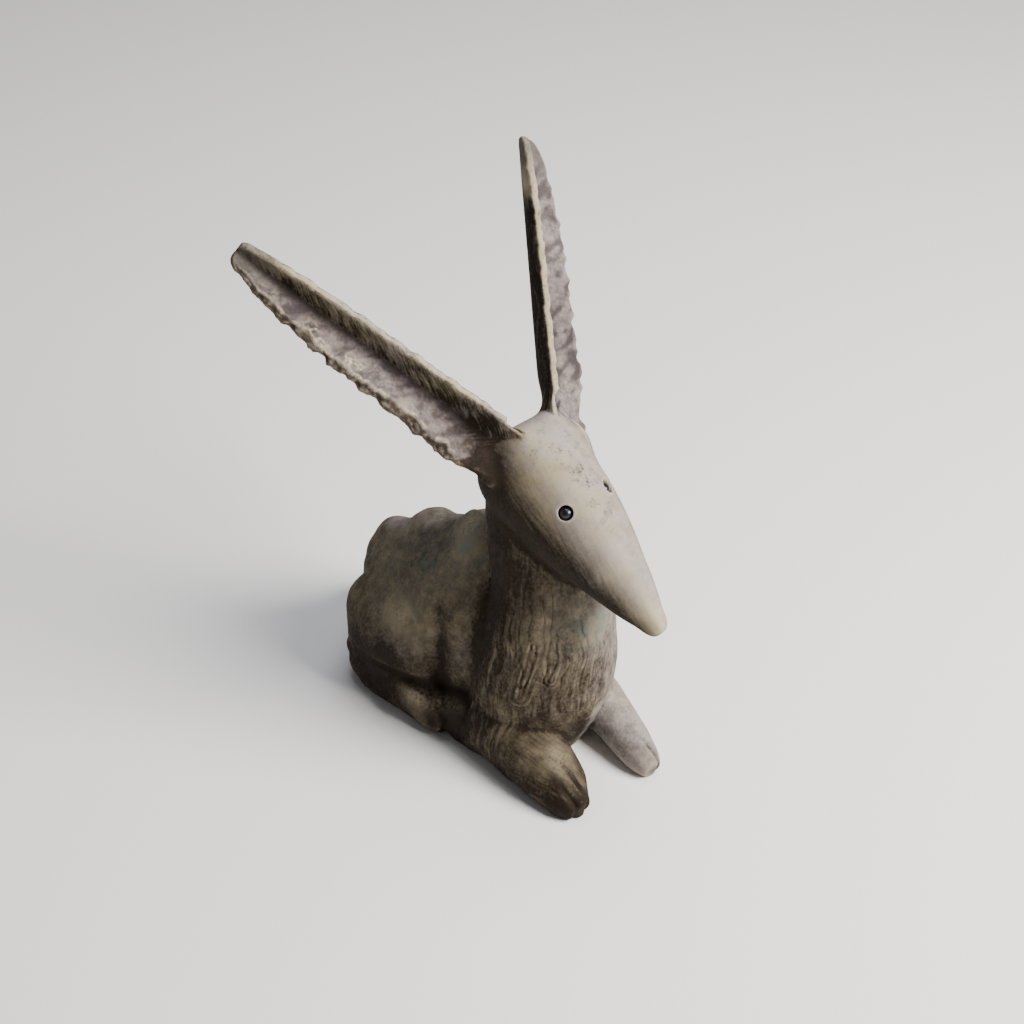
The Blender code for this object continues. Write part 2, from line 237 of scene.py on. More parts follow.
LEFT_FORELEG_ROWS = (
    (21, -40, 22, 14, 20),
    (21, -60, 16.5, 12.5, 16),
    (19, -76, 11.5, 11, 11.2),
    (15.5, -89.5, 8, 9.8, 10),
    (13, -98.5, 6, 8.2, 8.6),
    (11.5, -106, 4, 5, 5.5),
)
HIND_FOOT_ROWS = (
    (31, 60, 12, 5, 7),
    (33, 55, 12, 9, 13),
    (33.5, 46, 12, 10.5, 17),
    (34, 30, 12, 10.5, 17),
    (34.5, 10, 13, 10, 17),
    (35, -2, 10, 10.5, 14),
    (34, -10, 6, 8.5, 9),
)
HAUNCH_CENTRE = (24, 34, 35)
HAUNCH_RADII = (22, 38, 34)
ELBOW_CENTRE = (25, -24, 12)
ELBOW_RADII = (15.5, 32, 21)
LEFT_TEMPLE_CENTRE = (20, -40.5, 166.5)
LEFT_TEMPLE_RADII = (6.5, 12.5, 13)
RIGHT_HOCK_CENTRE = (-34, 52, 21)
RIGHT_HOCK_RADII = (7.8, 15, 10)
WITHERS_CENTRE = (-2, 4, 97)
WITHERS_RADII = (9, 7.5, 18.5)
TAIL_ROWS = (
    (-14, 58, 50, 6, 8),
    (-7, 66, 44, 9, 11),
    (4, 74.5, 33, 10.5, 12.5),
    (20, 83, 19, 11, 13),
    (38, 71, 12, 12, 14),
    (46, 50, 10, 12, 14),
    (46, 28, 9, 11, 12),
    (43, 10, 7, 8, 9),
    (40, 0, 5, 4, 5),
)


def add_body(clay):
    for rows in (TRUNK_ROWS, BELLY_ROWS, NECK_ROWS, RIGHT_FORELEG_ROWS, LEFT_FORELEG_ROWS, TAIL_ROWS):
        add_loft(clay, rows)
    for side in (-1, 1):
        add_lump(clay, on_side(side, HAUNCH_CENTRE), HAUNCH_RADII)
        add_lump(clay, on_side(side, ELBOW_CENTRE), ELBOW_RADII)
        add_loft(clay, [on_side(side, row) for row in HIND_FOOT_ROWS])
    add_lump(clay, LEFT_TEMPLE_CENTRE, LEFT_TEMPLE_RADII)
    add_lump(clay, WITHERS_CENTRE, WITHERS_RADII)
    add_lump(clay, RIGHT_HOCK_CENTRE, RIGHT_HOCK_RADII)
    for y, z, wide, long, high in SPINE_HUMPS:
        add_lump(clay, (0, y, z), (wide, long, high))


# The ears: a leaf folded along its middle, open forwards and outwards, rooted inside the skull

EAR_ROOTS = {-1: Vector((-15, -30, 175)), 1: Vector((15, -30, 175))}
EAR_TIPS = {-1: Vector((-81.5, 70, 265)), 1: Vector((81.5, 49, 270))}
EAR_OPENS = Vector((0.688, -0.683, 0.243))
EAR_WIDTHS = (
    (-0.04, 0.95), (0.0, 1.08), (0.12, 1.1), (0.3, 1.0), (0.6, 0.88), (0.8, 0.70), (0.92, 0.51),
    (0.98, 0.34), (1.0, 0.17),
)
EAR_FOLD = 0.2
RIM_RAGGED = 0.055


def ear_axes(side):
    """The ear's root, its tip and the directions along it, across it and out of its opening."""
    root, tip = EAR_ROOTS[side], EAR_TIPS[side]
    along = (tip - root).normalized()
    opens = Vector(on_side(side, EAR_OPENS))
    opens = (opens - opens.dot(along) * along).normalized()
    lateral = along.cross(opens) if side > 0 else opens.cross(along)
    return root, tip, along, lateral, opens


def rim_wave(share, side):
    """The torn edge of the ear: a few waves of unlike length."""
    wave = math.sin(61 * share + 2 * side) + 0.8 * math.sin(97 * share + 1.3)
    return 1 + RIM_RAGGED * (wave + 0.6 * math.sin(151 * share)) / 1.5


def add_ear(clay, side):
    """One ear as a grid bent into a channel and given its thickness away from the opening."""
    root, tip, _, lateral, opens = ear_axes(side)
    widths = smooth_rows(EAR_WIDTHS)
    first = widths[0, 0]
    sheet = bmesh.new()
    bmesh.ops.create_grid(sheet, x_segments=EAR_GRID[0], y_segments=EAR_GRID[1], size=1)
    for v in sheet.verts:
        share = first + (1 - first) * (v.co.x + 1) / 2
        across = v.co.y
        wall = EAR_LATERAL_WALLS[side] if across > 0 else EAR_MEDIAL_WALLS[side]
        height = wall * float(np.interp(share, widths[:, 0], widths[:, 1]))
        height *= 1 + (rim_wave(share, side) - 1) * abs(across)
        fold = math.sqrt(across**2 + EAR_FOLD**2) - EAR_FOLD
        v.co = MM * (
            root.lerp(tip, share)
            + lateral * across * height * math.sin(EAR_HALF_OPENING)
            + opens * fold * height * math.cos(EAR_HALF_OPENING)
        )
    bmesh.ops.recalc_face_normals(sheet, faces=sheet.faces)
    half_way = root.lerp(tip, 0.5) * MM
    middle = min(sheet.faces, key=lambda face: (face.calc_center_median() - half_way).length)
    inward = 1 if middle.normal.dot(opens) > 0 else -1
    bmesh.ops.solidify(sheet, geom=sheet.faces[:], thickness=inward * EAR_THICKNESS * MM)
    mesh = as_mesh("ear", sheet)
    clay.from_mesh(mesh)
    bpy.data.meshes.remove(mesh)


def melted_clay():
    """All lumps as one skin of small even faces."""
    clay = bmesh.new()
    add_body(clay)
    add_head(clay)
    for side in (-1, 1):
        add_ear(clay, side)
    mesh = as_mesh("clay", clay)
    lump = linked("clay", mesh)
    joined = lump.modifiers.new("join", "REMESH")
    joined.mode = "VOXEL"
    joined.voxel_size = CLAY_VOXEL * MM
    melt = lump.modifiers.new("melt", "SMOOTH")
    melt.factor = 0.5
    melt.iterations = MELT_ROUNDS
    skin = finished_mesh(lump)
    bpy.data.objects.remove(lump)
    bpy.data.meshes.remove(mesh)
    return skin


# Small helpers of the carving


def ramp(low, high, value):
    """0 at low, 1 at high and smooth between them."""
    t = np.clip((value - low) / (high - low), 0, 1)
    return t * t * (3 - 2 * t)


def bump(distance, width):
    return np.exp(-((distance / width) ** 2))


def lattice(cells, seed):
    """A fixed number between 0 and 1 for each cell of a grid."""
    x, y, z = cells.T
    mixed = (x * 73856093) ^ (y * 19349663) ^ (z * 83492791) ^ (seed * 40503)
    mixed = ((mixed ^ (mixed >> 13)) * 1274126177) & 0x7FFFFFFF
    mixed = ((mixed ^ (mixed >> 11)) * 668265263) & 0x7FFFFFFF
    return ((mixed >> 7) & 0xFFFF) / 65535


def noise(places, seed):
    """Smooth noise between -1 and 1 that turns about once in each unit."""
    cells = np.floor(places).astype(np.int64)
    part = places - cells
    part = part * part * (3 - 2 * part)
    total = np.zeros(len(places))
    for corner in itertools.product((0, 1), repeat=3):
        share = np.prod(np.where(corner, part, 1 - part), axis=1)
        total += share * lattice(cells + np.array(corner), seed)
    return 2 * total - 1


def spread(along, across=0):
    """Places for the noise that differ in these two ways alone."""
    flat = 0 * along
    return np.column_stack((along, across + flat, flat))


def smoothed(mesh, points, rounds):
    """The points after some rounds of moving each to the middle of its neighbours."""
    edges = np.empty(len(mesh.edges) * 2, np.int32)
    mesh.edges.foreach_get("vertices", edges)
    first, second = edges.reshape(-1, 2).T
    count = len(points)
    degree = np.bincount(first, minlength=count) + np.bincount(second, minlength=count)
    smooth = points.copy()
    for _ in range(rounds):
        for axis in range(3):
            column = smooth[:, axis]
            total = np.bincount(first, column[second], count) + np.bincount(second, column[first], count)
            smooth[:, axis] = total / degree
    return smooth


# Where each point of the skin lies


def head_place(points):
    """Distance from the nose, gap to the cone, and the angle from the crown in degrees."""
    rel = points - NOSE_TIP
    along = rel @ HEAD_ALONG
    off = rel - along[:, None] * HEAD_ALONG
    angle = np.degrees(np.arctan2(off[:, 0], off @ HEAD_CROWN))
    return along, np.linalg.norm(off, axis=1) - head_radius(along), angle


def ear_place(points, normals, side):
    """Share of the ear's length, distance along it and up its wall, share of the wall, and how much the
    point belongs to the inner face and to the rim's edge."""
    root, tip, along, lateral, opens = (np.array(part) for part in ear_axes(side))
    rel = points - root
    run = rel @ along
    share = run / np.linalg.norm(tip - root)
    widths = smooth_rows(EAR_WIDTHS)
    off = rel @ lateral
    wall = np.where(off > 0, EAR_LATERAL_WALLS[side], EAR_MEDIAL_WALLS[side])
    wall = wall * np.interp(share, widths[:, 0], widths[:, 1])
    up_wall = off / math.sin(EAR_HALF_OPENING)
    facing = normals @ opens
    outward = (normals @ lateral) * np.sign(off)
    inner = ramp(-0.1, 0.3, facing) * ramp(0.35, 0.0, outward)
    edge = ramp(0.1, 0.45, facing) * ramp(0.22, 0.52, outward)
    return share, run, up_wall, up_wall / wall, inner, edge


class Skin:
    """The points of the skin with the region each belongs to: its weight between 0 and 1."""

    def __init__(self, points, normals):
        self.points, self.normals = points, normals
        x, y, z = points.T
        self.run, self.gap, self.angle = head_place(points)
        ear = ramp(0.6, 3.0, self.gap) * ramp(160, 172, z)
        self.head = (1 - ear) * ramp(5, 1.5, self.gap)
        body = (1 - ear) * (1 - self.head)
        self.near_leg = body * ramp(-50, -66, y) * ramp(44, 32, z) * ramp(2, -4, x)
        self.far_leg = body * ramp(-54, -64, y) * ramp(36, 28, z) * ramp(-2, 4, x)
        back = np.interp(z, (60, 100, 120), (-25, -20, 2))
        chest = ramp(back + 5, back - 6, y) * ramp(2, 10, z) * ramp(160, 145, z)
        self.chest = (body - self.near_leg - self.far_leg) * chest
        self.trunk = np.clip(body - self.near_leg - self.far_leg - self.chest, 0, 1)
        self.ears, self.ear_facing = {}, {}
        for side in (-1, 1):
            here = ear * (x * side > 0)
            self.ears[side] = (here, *ear_place(points, normals, side))
            self.ear_facing[side] = normals @ np.array(ear_axes(side)[4])

    def flows(self):
        """For each region: its weight, the distance along the strokes and across them, how deep they are
        cut, and how much they show in the wash."""
        points = self.points
        x, y, z = points.T
        wave = noise(points / 18, 3) + 0.5 * noise(points / 8, 4)
        around = np.arctan2(x, -(y + 40)) * 32
        nested, looped = np.zeros(len(points)), np.zeros(len(points))
        for place, low, high, lean, wide in NESTED_LOCKS:
            sideways = around - place - lean * (z - low)
            past = np.clip(low - z, 0, None) + np.clip(z - high, 0, None)
            here = self.chest * ramp(wide, 0.75 * wide, np.hypot(sideways, past))
            nested = np.maximum(nested, here)
            ring = np.hypot(sideways, np.clip(low - z, 0, None)) + 1.1 * wave
            looped = np.where(here > 0, ring, looped)
        lower = ramp(96, 74, z)
        jaw = ramp(48, 66, np.abs(self.angle)) * ramp(12, 30, self.run) * ramp(96, 76, self.run)
        around_head = np.radians(self.angle) * head_radius(self.run) + 1.2 * wave
        shoulder = 0.8 * y + 0.6 * z + 0.5 * np.abs(x)
        slanting = x + 0.55 * z + 2 * wave
        parts = [
            (self.head, self.run, around_head, 0.05, 0.12 + 0.14 * jaw),
            (self.chest - nested, z, around + 2.6 * wave, 0.14 + 0.24 * lower, 0.24 + 0.32 * lower),
            (nested, z, looped, 0.42, 0.55),
            (self.near_leg, y, slanting, 0.20, 0.42),
            (self.far_leg, y, slanting, 0.04, 0.08),
            (self.trunk, 0.8 * z - 0.6 * y, shoulder + 4 * wave, 0.08, 0.14),
        ]
        for here, share, run, up_wall, _, inner, _ in self.ears.values():
            lean = np.where(up_wall > 0, -up_wall, up_wall)
            medial = ramp(1, -1, up_wall)
            hairy = np.maximum(medial, ramp(0.2, 0.08, share) * ramp(11, 4, up_wall))
            patchy = 0.6 + 0.4 * noise(points / 6, 9)
            depth = (0.08 + 0.30 * hairy) * patchy * ramp(0.97, 0.88, share)
            across = run + lean + 2.6 * wave
            along = np.where(up_wall > 0, run + up_wall, run - lean)
            across = np.where(up_wall > 0, run - up_wall + 2 * wave, across)
            parts.append((here * inner, along, across, depth, 0.12 + 0.60 * hairy))
            parts.append((here * (1 - inner), run, up_wall + 3 * wave, 0.16, 0.6))
        return parts


# The carving: each function gives a height over the skin


def strokes(flows):
    """Incised strokes that run along each region's hair."""
    height = 0
    for number, (weight, along, across, depth, _) in enumerate(flows):
        wide = noise(spread(along / WIDE_STROKES[0], across / WIDE_STROKES[1]), 11 + number)
        fine = noise(spread(along / FINE_STROKES[0], across / FINE_STROKES[1]), 41 + number)
        lines = 0.65 * bump(wide, 0.22) + 0.45 * bump(fine, 0.28)
        patchy = 0.7 + 0.5 * noise(spread(along / 16, across / 9), 61 + number)
        height = height - weight * depth * patchy * (lines - 0.3)
    return height


def chest_locks(skin, flow):
    """Low wavy locks down the neck and the chest, strongest in front of the right foreleg."""
    _, along, across, _, _ = flow
    x, y, z = skin.points.T
    strong = 0.5 + 0.5 * bump(np.hypot(x + 24, (z - 66) * 0.55), 18) * (y < -40)
    across = across + 1.6 * noise(skin.points / 11, 74)
    locks = noise(spread(along / 30, across / LOCK_PITCH * 1.5), 71)
    furrows = bump(noise(spread(along / 22, across / LOCK_PITCH * 1.6), 72), 0.16)
    return skin.chest * strong * LOCK_DEPTH * (0.8 * locks - 0.85 * furrows)


def nested_rings(flow):
    """Loops of hair one inside the other, at the ends of two locks, cut deeper here and there."""
    weight, along, across, _, _ = flow
    patchy = 0.6 + 0.6 * noise(spread(along / 9, across / 5), 73)
    return weight * RING_DEPTH * patchy * np.cos(across * 2 * math.pi / RING_PITCH)


def toe_cuts(points):
    """Creases between the toes of the four paws."""
    x, y, z = points.T
    height = np.zeros(len(points))
    for paw_x, paw_y, creases in PAWS:
        near = ramp(15, 9, np.abs(x - paw_x)) * ramp(paw_y + 8, paw_y - 4, y)
        near *= ramp(paw_y - 22, paw_y - 16, y) * ramp(24, 18, z)
        for crease in creases:
            height -= TOE_DEPTH * near * bump(x - paw_x - crease, 1.4)
    return height


def toe_marks(points):
    """The grooves between the toes and the crests along them."""
    x, y, z = points.T
    groove, crest = np.zeros(len(points)), np.zeros(len(points))
    for paw_x, paw_y, creases in PAWS:
        long = 12 if paw_y > -50 else 2
        near = ramp(15, 9, np.abs(x - paw_x)) * ramp(paw_y + long + 12, paw_y + long, y)
        near *= ramp(paw_y - 22, paw_y - 16, y) * ramp(30, 24, z)
        for crease in creases:
            groove += near * bump(x - paw_x - crease, 1.5)
            crest += near * bump(x - paw_x - crease - 4, 1.8) * ramp(3, 9, z)
    return groove, crest


def thigh_creases(points):
    """How near each point lies to the front of the thigh and to the line over the hind foot."""
    x, y, z = points.T
    side = ramp(20, 27, np.abs(x))
    front = y - np.interp(z, *zip(*THIGH_FRONT))
    below = z - np.interp(y, *zip(*THIGH_FOOT))
    front_shown = side * ramp(10, 18, z) * ramp(86, 70, z)
    foot_shown = side * ramp(-8, 4, y) * ramp(58, 44, y)
    return front, front_shown, below, foot_shown


def thigh_shape(points):
    """The thigh stands out round behind its front crease and over the foot."""
    front, front_shown, below, foot_shown = thigh_creases(points)
    crease = -HAUNCH_CREASE * bump(front, 3.4) + 0.6 * HAUNCH_CREASE * bump(front - 9, 6)
    fold = -HAUNCH_CREASE * bump(below, 2.8) + 0.35 * HAUNCH_CREASE * bump(below + 6, 3.5)
    return crease * front_shown + fold * foot_shown


def uneven_clay(skin):
    """The hand-worked surface of the trunk and the legs, absent from the smooth head and the ears."""
    points = skin.points
    lumps = 0.6 * noise(points / 11, 61) + 0.45 * noise(points / 5.5, 62)
    return (skin.trunk + 0.6 * skin.chest + 0.6 * skin.near_leg + 0.5 * skin.far_leg) * lumps + (
        skin.head * 0.18 * noise(points / 12, 63)
    )


def ear_lip(skin, side):
    """How far each point lies beyond the wandering lip of the lateral wall, as a share of that wall."""
    _, _, run, _, wall_share, _, _ = skin.ears[side]
    wander = 0.06 * noise(spread(run / 6), 5) + 0.05 * noise(spread(run / 2.4), 6)
    return wall_share - EAR_LIPS[side] - wander


def ear_curls(skin, side):
    """Thin curling ridges of slip on the lateral wall, just inside its lip."""
    here, share, _, _, wall_share, inner, _ = skin.ears[side]
    curls = bump(noise(skin.points / 4.6, 14), 0.15) + bump(noise(skin.points / 3.2, 15), 0.13)
    some = ramp(-0.3, 0.25, noise(skin.points / 12, 16)) * ramp(0.14, 0.32, share)
    by_lip = bump(ear_lip(skin, side) + 0.18, 0.19)
    return here * inner * (wall_share > 0) * by_lip * some * np.clip(curls, 0, 1)


def ear_rims(skin):
    """The torn lip of the lateral walls, the lumps beyond it and the bumps along the medial rims."""
    height = np.zeros(len(skin.points))
    lumps = noise(skin.points / 2.5, 8) + 0.6 * noise(skin.points / 1.6, 9)
    for side in (-1, 1):
        here, share, run, _, wall_share, _, _ = skin.ears[side]
        shown = here * ramp(1.0, 0.93, share) * ramp(0.08, 0.18, share)
        past = ear_lip(skin, side)
        ragged = 1.0 if side < 0 else 0.25
        broken = 0.35 + 0.65 * ramp(-0.5, 0.3, noise(spread(run / 3.4), 7))
        height += shown * ragged * 0.8 * bump(past, 0.05) * broken * (wall_share > 0)
        height += shown * ragged * ramp(0.0, 0.08, past) * (0.6 * lumps - 0.35)
        height += shown * ragged * 0.45 * ear_curls(skin, side)
        height += shown * 0.22 * ramp(-0.85, -0.97, wall_share) * lumps
    return height


def eye_place(side):
    """The bead's centre and the direction out of its socket."""
    angle = EYE_ANGLES[side]
    out = HEAD_CROWN * math.cos(angle) + np.array((side * math.sin(angle), 0, 0))
    skin = NOSE_TIP + HEAD_ALONG * EYE_FROM_NOSE + out * head_radius(EYE_FROM_NOSE)
    return skin - out * (EYE_RECESS + EYE_DIAMETER / 2), out


def eye_distance(points):
    """Distance from the nearer eye's axis."""
    nearest = np.full(len(points), 99.0)
    for side in (-1, 1):
        centre, out = eye_place(side)
        rel = points - centre
        high = rel @ out
        off = np.linalg.norm(rel - high[:, None] * out, axis=1)
        nearest = np.minimum(nearest, np.where(high > -EYE_DIAMETER, off, 99.0))
    return nearest


# The paint: masks that the stoneware's material mixes its colours by. A patch of a mask is the amount,
# the centre and the half sizes, and it lies on both sides of the body.

MASKS = ("wash_and_shade", "pale", "violet", "slate", "olive", "mist", "grey", "warm", "pitted", "grainy")
BODY_PATCHES = {
    "wash_and_shade": (
        # Painted highlight on the haunch; painted shade behind and below it
        (-0.26, (-38, 21, 60), (15, 13, 10)), (0.42, (-46, 44, 26), (14, 22, 26)),
        # Painted shade over the rump and under the haunch's highlight
        (0.22, (-30, 64, 52), (16, 16, 26)), (0.38, (-44, 18, 36), (12, 18, 9)),
        # Painted shade in the furrow before the thigh; a darker oval on the flank
        (0.42, (-35, -6, 46), (10, 5, 26)), (0.14, (-32, -17, 53), (8, 7, 14)),
        # Painted shade in the gap over the hind foot and in the furrow between flank and chest
        (0.80, (-37, -20, 16), (12, 11, 17)), (0.55, (-29, -27, 68), (9, 5, 26)),
        # Painted highlight on the hind foot; its dark claws
        (-0.40, (-42, 4, 19), (7, 12, 6)), (0.85, (-40, -10, 13), (6, 5, 9)),
        # Painted shade at the back of the hind foot; its dark claws
        (0.40, (-45, 32, 12), (10, 14, 12)), (0.30, (-40, -8, 12), (6, 5, 8)),
        # A paler patch on the shoulder; the neck's dark side, brown wash with painted shade
        (-0.26, (-14, -5, 105), (12, 10, 10)), (0.95, (-28, -32, 118), (12, 13, 44)),
        (0.25, (-26, -55, 112), (8, 8, 12)), (-0.22, (-22, -62, 96), (12, 10, 14)),
        # A paler grey-green patch under the jaw; painted shadow along the chest's bottom edge
        (-0.32, (-4, -76, 86), (14, 12, 13)), (0.35, (-4, -72, 16), (16, 8, 12)),
        # Painted highlight along the crest of the back; a darker patch at the back of the rump
        (-0.56, (0, 50, 88), (9, 46, 9)), (0.42, (-24, 84, 48), (20, 18, 26)),
    ),
    "pale": (
        # Painted highlights on the haunch and the hind foot
        (0.30, (-38, 20, 60), (12, 9, 8)), (0.45, (-42, 2, 19), (6, 9, 5)),
        # Painted highlight on the top of the withers
        (0.50, (-6, 1, 111), (9, 5, 6)),
    ),
    "violet": (
        (0.55, (-43, 15, 42), (10, 14, 9)), (0.45, (-32, -17, 53), (8, 7, 12)),
        # Pale mauve along the crest of the back: painted highlight
        (0.85, (0, 50, 86), (10, 46, 9)),
    ),
    "mist": (
        (0.85, (-14, -5, 105), (14, 12, 11)), (0.45, (-24, 10, 88), (12, 18, 12)),
        # Grey-green under the jaw; a greenish painted shadow along the chest's bottom edge
        (0.95, (-4, -76, 86), (16, 12, 15)), (0.70, (0, -72, 14), (18, 10, 12)),
    ),
}

# Patches of one side alone, on the forelegs

FORELEG_PATCHES = {
    # Painted highlight on top of the right foreleg; less pale at its paw
    "pale": ((0.34, (-30, -80, 23), (8, 12, 5)), (-0.60, (-35, -104, 6), (12, 10, 9))),
    "wash_and_shade": (
        # The same painted highlight; the right paw's dark end
        (-0.18, (-30, -80, 23), (9, 13, 6)), (0.66, (-35, -101, 5), (13, 13, 12)),
        # Darker low on the right foreleg's outside; painted shade in the crease of the left paw
        (0.35, (-44, -75, 5), (9, 30, 12)), (0.30, (17, -104, 4), (7, 6, 6)),
    ),
    # Mauve painted shade in the crease of the left paw
    "violet": ((0.50, (17, -100, 6), (7, 10, 7)),),
}
# Painted shade in the fold where the right ear's lateral wall meets the cheek. Where the head is pitted:
# distance from the nose, angle from the crown and the half sizes.

RIGHT_EAR_FOLDS = (((-27, -29, 178), (7, 9, 12)), ((-33, -33, 169), (6, 7, 7)))
PITTED_PLACES = ((62, -4, 13, 20), (80, 4, 12, 18), (99, 2, 11, 24), (99, -27, 6, 9))


def blob(points, centre, radii):
    return np.exp(-np.sum(((points - centre) / radii) ** 2, axis=1))


def add_patches(paint, points, patches):
    for name, blobs in patches.items():
        for amount, centre, radii in blobs:
            paint[name] += amount * blob(points, centre, radii)


def paint_head(skin, paint, cloud, wisps):
    """A brown wash with painted shade under the jaw and around the back of the cheek, pale pink over the
    crown.
    """
    run, angle = skin.run, np.abs(skin.angle - 10)
    begins = np.interp(run, (0, 20, 45, 70, 88, 104, 118), (84, 64, 56, 54, 53, 50, 36))
    # Darker away from the crown, under the jaw and round the back of the cheek: brown wash and painted
    # shade
    shade = ramp(begins - 20, begins + 54, angle + 6 * cloud)
    tint = ramp(12, 58, angle)
    paint["wash_and_shade"] += skin.head * (0.94 * shade + 0.17 * tint + 0.03 * wisps)
    paint["olive"] += skin.head * 0.5 * tint
    pinkish = ramp(-30, 15, skin.angle) * ramp(90, 50, skin.angle)
    paint["violet"] += skin.head * 0.45 * pinkish
    paint["warm"] += skin.head * ramp(20, 8, run)
    # Painted shade in the fold between the right ear and the cheek
    for place, radii in RIGHT_EAR_FOLDS:
        paint["wash_and_shade"] += 0.55 * blob(skin.points, place, radii)
    for place, turn, long, wide in PITTED_PLACES:
        away = np.hypot((run - place) / long, (skin.angle - turn) / wide)
        paint["pitted"] += skin.head * bump(away, 1)


def paint_ears(skin, paint, cloud, wisps):
    """Mauve-grey slip on the lateral walls, with painted shade towards the valley, brown hair on the
    medial ones, pale rims and dark tips.
    """
    for side in (-1, 1):
        here, share, run, up_wall, wall_share, inner, edge = skin.ears[side]
        ragged = side < 0
        if not ragged:
            rim_side = ramp(-0.15, -0.6, wall_share)
            raised = 1.4 * rim_side * ramp(0.68, 0.86, share + 0.03 * wisps)
            turned = skin.ear_facing[side] + raised
            edge = np.clip(1 - inner, 0, 1) * ramp(-0.55, 0.35, turned)
        inside = here * inner
        outside = here * (1 - inner) * (1 - edge)
        medial = ramp(0.06, -0.06, wall_share)
        lateral = 1 - medial
        root = ramp(0.24, 0.10, share + 0.05 * wisps) * ramp(12, 3, up_wall + 2 * wisps)
        root = np.maximum(root, ramp(0.12, 0.03, share + 0.04 * wisps)) if ragged else root
        tip = ramp(0.80, 0.95, share + 0.03 * wisps)
        towards_rim = ramp(-0.35, -1.0, wall_share)
        hair = noise(spread((run - up_wall) / 13, (run + up_wall) / 3.6), 33)
        patches = noise(spread(run / 11, up_wall / 8), 38)
        wash_and_shade = inside * medial * (0.74 - 0.26 * towards_rim + 0.30 * hair + 0.22 * patches)
        oblique = noise(spread((run + up_wall) / 9, (run - up_wall) / 3.2), 34)
        oblique = ramp(0.0, 0.5, oblique + 0.3 * patches)
        flank_wash, mottle = (0.26, 0.70) if ragged else (0.12, 1.0)
        if ragged:
            darker = 0.15 + 0.35 * ramp(0.5, 0.75, share)
        else:
            darker = 0.10 + 0.45 * bump(share - 0.36, 0.16)
        # Slate deepening towards the valley of the ear's channel is painted shade
        valley = 0.85 * ramp(0.50, 0.05, wall_share)
        paint["slate"] += inside * lateral * (mottle * oblique + valley + darker)
        wash_and_shade += inside * lateral * (flank_wash + 0.10 * wisps + 0.55 * root)
        wash_and_shade += inside * medial * 0.30 * root * ragged
        wash_and_shade += outside * (0.98 + 0.08 * cloud)
        past = ear_lip(skin, side)
        lip = bump(past, 0.05) * lateral * here * np.clip(inner + edge, 0, 1)
        beyond = ramp(0.02, 0.09, past) * lateral * here * (inner + edge)
        torn = ramp(-0.35, 0.35, wisps + 0.6 * noise(spread(run / 2.8), 36))
        if ragged:
            wash_and_shade += (0.64 + 0.16 * wisps) * beyond - 0.25 * lip * torn
            paint["slate"] += 0.35 * inside * lateral * ramp(0.34, 0.12, share)
            paint["olive"] += 0.8 * beyond
            paint["pale"] += 0.8 * lip * torn + 1.2 * ear_curls(skin, side)
        else:
            paint["pale"] += 0.35 * beyond * ramp(-0.4, 0.3, wisps)
        rim_begins = (0.06, 0.22) if ragged else (0.02, 0.10)
        medial_edge = here * edge * medial * ramp(*rim_begins, share)
        wash_and_shade += medial_edge * (0.24 + 0.20 * wisps + (0.30 if ragged else 0.10) * hair)
        if ragged:
            wash_and_shade += here * edge * medial * 0.42 * ramp(0.24, 0.08, share)
        worn = ramp(-0.7, 0.2, wisps + 0.5 * hair)
        paint["pale"] += medial_edge * (0.60 if ragged else 0.50) * worn
        paint["wash_and_shade"] += wash_and_shade * (1 - 0.35 * tip)
        paint["pale"] *= 1 - here * 0.95 * tip
        paint["grey"] += here * tip
        mauve = lateral * (1.0 - 0.4 * root) * (1 - 0.7 * beyond * ragged)
        paint["violet"] += here * (inner + edge) * mauve
        paint["olive"] += outside + 0.5 * inside * medial
        paint["pitted"] += here * (inner + edge) * ramp(0.14, 0.02, share) * medial * (side > 0)


